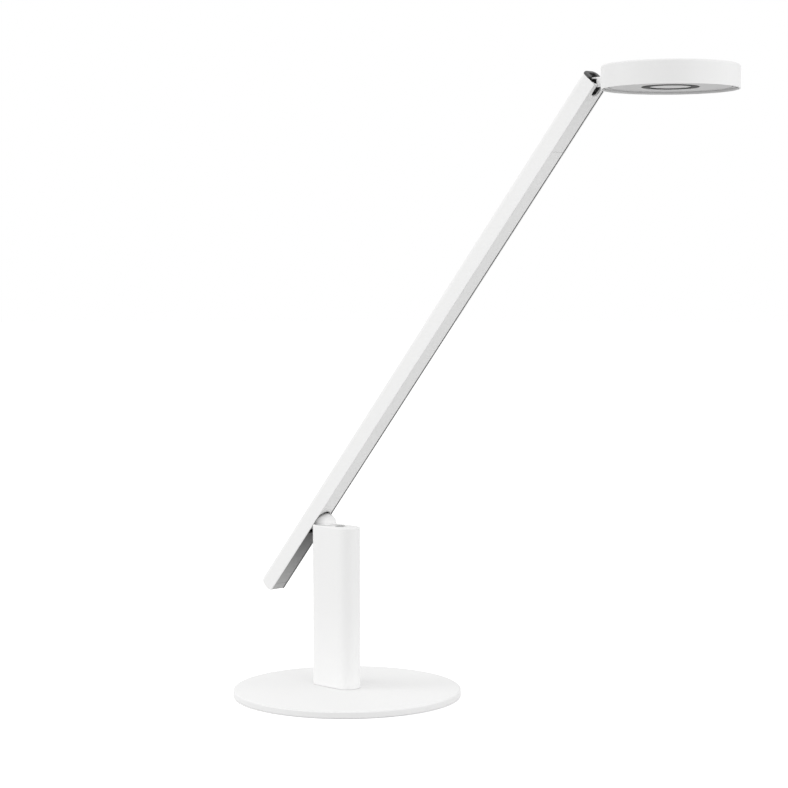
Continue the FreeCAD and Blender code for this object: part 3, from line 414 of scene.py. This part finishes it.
cap_plastic_painted_shade = moulded("cap_moulded_painted_shade", TAIL_SHADE_GREY, warmth=WARM)
strip_plastic_painted_shade = moulded("strip_moulded_painted_shade", TAIL_SHADE_GREY, warmth=WARM, gloss=0.3,
                        painted_shade_where=towards_slot, painted_shade_level=SLOT_SHADE_GREY)

# %% [markdown]
# ### The bezel
#
# The bezel round the diffuser faces down, and shade is painted on it as a deeper grey than the
# covers.
# The painted shade is darkest in a narrow band along its two edges, at the joints with the housing
# and with the diffuser. The radii are measured on the bezel.

# %% The bezel, dark along both edges
# The greys of the shade painted on the bezel, and along its edges.
BEZEL_SHADE_GREY = 0.56
EDGE_SHADE_GREY = 0.14
EDGE = 1.0 * MM
bezel_low, bezel_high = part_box("outer_bezel")
head_x = (bezel_low.x + bezel_high.x) / 2
radii = [math.hypot(corner.co.x - head_x, corner.co.y)
         for corner in nodes["outer_bezel"].data.vertices]
inner_r, outer_r = min(radii), max(radii)
print(f"bezel from {inner_r / MM:.1f} to {outer_r / MM:.1f} mm radius, at x {head_x / MM:.1f} mm")


def bezel_edges(plastic):
    """1 near the inner and the outer edge of the bezel, where the deepest shade is painted."""
    reach = plastic.reach(head_x)
    return 1 - (reach > (inner_r + EDGE) ** 2) * (reach < (outer_r - EDGE) ** 2)


bezel_plastic_painted_shade = moulded("bezel_moulded_painted_shade", BEZEL_SHADE_GREY, roughness=0.52, warmth=WARM, gloss=0.3,
                        painted_shade_where=bezel_edges, painted_shade_level=EDGE_SHADE_GREY)

# %% [markdown]
# ## Opal diffuser
#
# The light comes out through satin opal acrylic: milky in the mass, with a surface blasted so that no
# reflection is sharp. Subsurface scattering gives the milk. A faint cloudiness in the pigment and a
# fine tooth give the satin. The disc in the middle is a paler grade.

# %% Satin opal acrylic
OPAL_GREY, DISC_GREY = 0.50, 0.58
CLOUDED = 0.97


def satin_opal(name, level):
    milk = Finish(name)
    cloud = milk.noise(12 * MM, detail=3.0)
    tooth = milk.noise(0.35 * MM)
    return milk.principled({
        "Base Color": milk.between(cloud, grey(level * CLOUDED, WARM), grey(level)),
        "Roughness": 0.42 + 0.08 * cloud,
        "Normal": milk.bump(tooth, 0.01 * MM),
        "Subsurface Weight": 0.15,
        "Subsurface Radius": (1.0, 1.0, 1.0),
        "Subsurface Scale": 0.8 * MM,
    })


opal = satin_opal("satin_opal", OPAL_GREY)
clear_opal = satin_opal("clear_opal", DISC_GREY)

# %% [markdown]
# ## Metals
#
# Zinc-plated screws and pins have a soft crystalline bloom, and the machined aluminium has fine feed
# lines from the cutter. Both are pale metals whose roughness changes from spot to spot. Most of them
# are hidden inside, but the lamp can be taken apart, so they are finished as well.


# %% Plated steel and machined aluminium
def bare_metal(name, level, bloom, line, roughness):
    metal = Finish(name)
    sockets = {"Vector": metal.place, "Scale": 1 / bloom}
    crystals = metal.node("ShaderNodeTexVoronoi", None, sockets)["Color"]
    shine = metal.node("ShaderNodeSeparateColor", None, {"Color": crystals})["Red"]
    sockets = {"Vector": metal.place, "Scale": 1 / line}
    feed = metal.node("ShaderNodeTexWave", {"bands_direction": "Z"}, sockets)["Fac"]
    return metal.principled({
        "Base Color": metal.between(shine, grey(level * 0.9), grey(level)),
        "Metallic": 1.0,
        "Roughness": roughness + 0.12 * (shine - 0.5),
        "Normal": metal.bump(feed, 0.01 * MM),
    })


steel = bare_metal("zinc_plated_steel", 0.62, bloom=1.5 * MM, line=0.8 * MM, roughness=0.32)
alloy = bare_metal("machined_aluminium", 0.66, bloom=3.0 * MM, line=0.5 * MM, roughness=0.38)

# %% [markdown]
# The tongue inside the neck is anodised black. The dye sits in the oxide, so it is a matt skin, not a
# mirror, but the cutter's lines still show through it.


# %% Black anodising
def anodised(name, level, line, roughness):
    skin = Finish(name)
    sockets = {"Vector": skin.place, "Scale": 1 / line}
    feed = skin.node("ShaderNodeTexWave", {"bands_direction": "X"}, sockets)["Fac"]
    dye = skin.noise(8 * MM)
    return skin.principled({
        "Base Color": skin.between(dye, grey(level * 0.8), grey(level * 1.2)),
        "Roughness": roughness + 0.08 * feed,
        "Normal": skin.bump(feed, 0.005 * MM),
        "Specular IOR Level": 0.25,
    })


black_alloy = anodised("black_anodised", 0.020, line=0.6 * MM, roughness=0.45)

# %% [markdown]
# ## Boards and LEDs
#
# A printed board is glossy solder resist over copper tracks. The tracks show as slightly lighter,
# raised lines. The gaps between the cells of a Voronoi pattern that is kept nearly regular look much
# like them.

# %% Solder resist with tracks under it
TRACK_HALF, TRACK_FADE = 0.08, 0.14    # in cells, from the middle of a track to its edge and past it


def board(name, resist, track, pitch):
    laid = Finish(name)
    sockets = {"Vector": laid.place, "Scale": 1 / pitch, "Randomness": 0.2}
    edges = laid.node("ShaderNodeTexVoronoi", {"feature": "DISTANCE_TO_EDGE"}, sockets)["Distance"]
    tracks = laid.spread(edges, TRACK_HALF, TRACK_FADE, to_low=1.0, to_high=0.0)
    return laid.principled({
        "Base Color": laid.between(tracks, resist, track),
        "Roughness": 0.30 - 0.08 * tracks,
        "Normal": laid.bump(tracks, 0.03 * MM),
    })


GREEN, PALE_GREEN = (0.020, 0.130, 0.050, 1), (0.035, 0.200, 0.080, 1)
circuit_board = board("green_resist", GREEN, PALE_GREEN, pitch=2.5 * MM)
white_board = board("white_resist", grey(0.74, 0.01), grey(0.80, 0.01), pitch=4.0 * MM)

# %% [markdown]
# The LEDs are fine grains of yellow phosphor under clear resin, so their sheen is high.

# %% Phosphor under clear resin
YELLOW, PALE_YELLOW = (0.78, 0.52, 0.10, 1), (0.88, 0.66, 0.18, 1)
phosphor = Finish("phosphor")
grains = phosphor.noise(0.2 * MM)
led_phosphor = phosphor.principled({
    "Base Color": phosphor.between(grains, YELLOW, PALE_YELLOW),
    "Roughness": 0.12 + 0.1 * grains,
    "Normal": phosphor.bump(grains, 0.01 * MM),
})

# %% [markdown]
# ## Giving every piece its finish
#
# The record names a finish slot for each piece, so the pieces take their materials from there. Nine
# pieces have a finish of their own, with painted shade or a grey that their slot doesn't have.

# %% Dress the frame's pieces
FINISHES = {
    "white_alloy": white_alloy,
    "white_steel": white_steel,
    "white_plastic": white_plastic,
    "dark_plastic": dark_plastic,
    "black_plastic": black_plastic,
    "bearing_plastic": bearing_plastic,
    "rubber_pad": rubber_pad,
    "steel": steel,
    "black_alloy": black_alloy,
    "alloy": alloy,
    "circuit_board": circuit_board,
    "white_board": white_board,
    "led_phosphor": led_phosphor,
    "opal": opal,
    "lead_sheath": lead_sheath,
}
OWN_FINISHES = {
    "arm_profile": arm_coat_and_shade,
    "column_shell": column_coat_and_shade,
    "turret_dome": dome_coat_and_shade,
    "head_housing": head_coat,
    "tail_cover": strip_plastic_painted_shade,
    "end_cap": cap_plastic_painted_shade,
    "outer_bezel": bezel_plastic_painted_shade,
    "centre_ring": ring_plastic,
    "centre_disc": clear_opal,
}
for name, node in nodes.items():
    slot = node.material_slots[0].material.name.split(".")[0]
    node.material_slots[0].material = OWN_FINISHES.get(name, FINISHES[slot])
    print(f"{name}: {node.material_slots[0].material.name}")

# %% [markdown]
# ## The studio
#
# The lamp stands on a seamless white sheet in even daylight. The sheet is one flat disc. Its far edge
# can't be told from the backdrop, because both look plain white.

# %% The sheet it stands on
SHEET_R = 12.0
floor_mesh = bmesh.new()
bmesh.ops.create_circle(floor_mesh, cap_ends=True, radius=SHEET_R, segments=96)
floor_data = bpy.data.meshes.new("sheet")
floor_mesh.to_mesh(floor_data)
floor_mesh.free()
sheet = bpy.data.objects.new("sheet", floor_data)
bpy.context.scene.collection.objects.link(sheet)
sheet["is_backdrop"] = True
print(f"sheet {2 * SHEET_R:.0f} m across")

# %% [markdown]
# The sheet looks pure white and still takes the lamp's shadow. Where it is looked at, it glows a
# little, so that the light which reaches it everywhere outside the shadow lifts it to white. To the
# light that it throws back up at the lamp it is only half as pale, as a wide table would be, so the
# undersides keep their shade.

# %% The sheet's paper
BOUNCE = 0.50    # how much of the light that falls on the sheet goes back up
GLOW = 0.47
paper = Finish("white_sheet")
fibre = paper.noise(4 * MM, detail=3.0)
tone = paper.between(fibre, grey(0.80), grey(0.82))
matt = paper.node("ShaderNodeBsdfDiffuse", None, {"Color": tone})["BSDF"]
dim = paper.node("ShaderNodeBsdfDiffuse", None, {"Color": grey(BOUNCE)})["BSDF"]
glow = paper.node("ShaderNodeEmission", None, {"Color": grey(1.0), "Strength": GLOW})["Emission"]
lit = paper.node("ShaderNodeAddShader", None, {0: matt, 1: glow})["Shader"]
shown = paper.node("ShaderNodeMixShader", None, {0: paper.seen(), 1: dim, 2: lit})["Shader"]
paper.node("ShaderNodeOutputMaterial", None, {"Surface": shown})
sheet.data.materials.append(paper.material)
print(f"{paper.material.name}: {len(paper.tree.nodes)} nodes")

# %% [markdown]
# The world gives most of the light, evenly from all sides, as on a grey day. Where it is looked at,
# it is plain white.

# %% Daylight all round
DAYLIGHT = 0.88
world = bpy.data.worlds.new("daylight")
bpy.context.scene.world = world
sky = Graph(world)
even = {"Color": grey(1.0), "Strength": DAYLIGHT}
white = {"Color": grey(1.0), "Strength": 1.0}
ambient = sky.node("ShaderNodeBackground", None, even)["Background"]
backdrop = sky.node("ShaderNodeBackground", None, white)["Background"]
both = sky.node("ShaderNodeMixShader", None, {0: sky.seen(), 1: ambient, 2: backdrop})["Shader"]
sky.node("ShaderNodeOutputWorld", None, {"Surface": both})
print(f"daylight at {DAYLIGHT} of white")

# %% [markdown]
# Five weak softboxes give the forms their soft gradients. The strongest stands at the front left, so
# that the column's flat side is a shade paler than its round end. The others stand above, in front
# and on the right, and all face the middle of the lamp. To balance them, the lamp was rendered under
# each light alone, and their shares were weighed against one another.


# %% Soft lamps
def softbox(name, at, size, watts):
    """A square area lamp at a point, turned to face the middle of the lamp."""
    light = bpy.data.lights.new(name, "AREA")
    light.shape, light.size, light.energy = "SQUARE", size, watts
    lamp = bpy.data.objects.new(name, light)
    bpy.context.scene.collection.objects.link(lamp)
    lamp.location = at
    lamp.rotation_mode = "QUATERNION"
    lamp.rotation_quaternion = (middle - Vector(at)).to_track_quat("-Z", "Y")
    print(f"{name}: {(middle - Vector(at)).length:.2f} m away, {watts} W")


middle = (cad_box[0] + cad_box[1]) / 2
softbox("top_box", (0.1, -0.1, 2.2), size=1.6, watts=3.7)
softbox("front_box", (0.3, -2.2, 0.9), size=1.4, watts=2.1)
softbox("left_front_box", (-1.4, -1.8, 0.8), size=1.2, watts=16.0)
softbox("right_box", (2.2, -0.3, 0.6), size=1.0, watts=8.4)
softbox("right_back_box", (1.7, 1.4, 0.7), size=1.0, watts=5.2)

# %% [markdown]
# ## The camera
#
# The camera stands 1.7 metres from the middle of the lamp, off its front corner and a little above
# that middle, with a short telephoto lens and a very slight look down.

# %% Camera
CAMERA_AT = Vector((1.3121, -1.2539, 0.3776))
LOOK_DOWN = math.radians(3.55)
TURN = math.radians(45.0)
SENSOR, LENS = 36.0, 95.235
NEAREST, FARTHEST = 0.05, 60.0
ahead = math.cos(LOOK_DOWN)
look = Vector((-math.sin(TURN) * ahead, math.cos(TURN) * ahead, -math.sin(LOOK_DOWN)))
eye = bpy.data.cameras.new("camera")
eye.sensor_width, eye.lens = SENSOR, LENS
eye.clip_start, eye.clip_end = NEAREST, FARTHEST
camera = bpy.data.objects.new("camera", eye)
bpy.context.scene.collection.objects.link(camera)
camera.location = CAMERA_AT
camera.rotation_mode = "QUATERNION"
camera.rotation_quaternion = look.to_track_quat("-Z", "Y")
bpy.context.scene.camera = camera
bpy.context.scene.view_settings.view_transform = "Standard"
print(f"camera {(CAMERA_AT - middle).length:.2f} m from the middle of the lamp")

# %% [markdown]
# ## Closing
#
# The box is measured again and written beside the first one. The two are the same, because the lamp
# only got finishes, and the studio isn't part of it.

# %% Sizes, and the last line
dressed_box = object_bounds()
growth = [abs(a - b) / MM for c, d in zip(cad_box, dressed_box) for a, b in zip(c, d)]
print("grew by mm:", [round(g, 3) for g in growth])
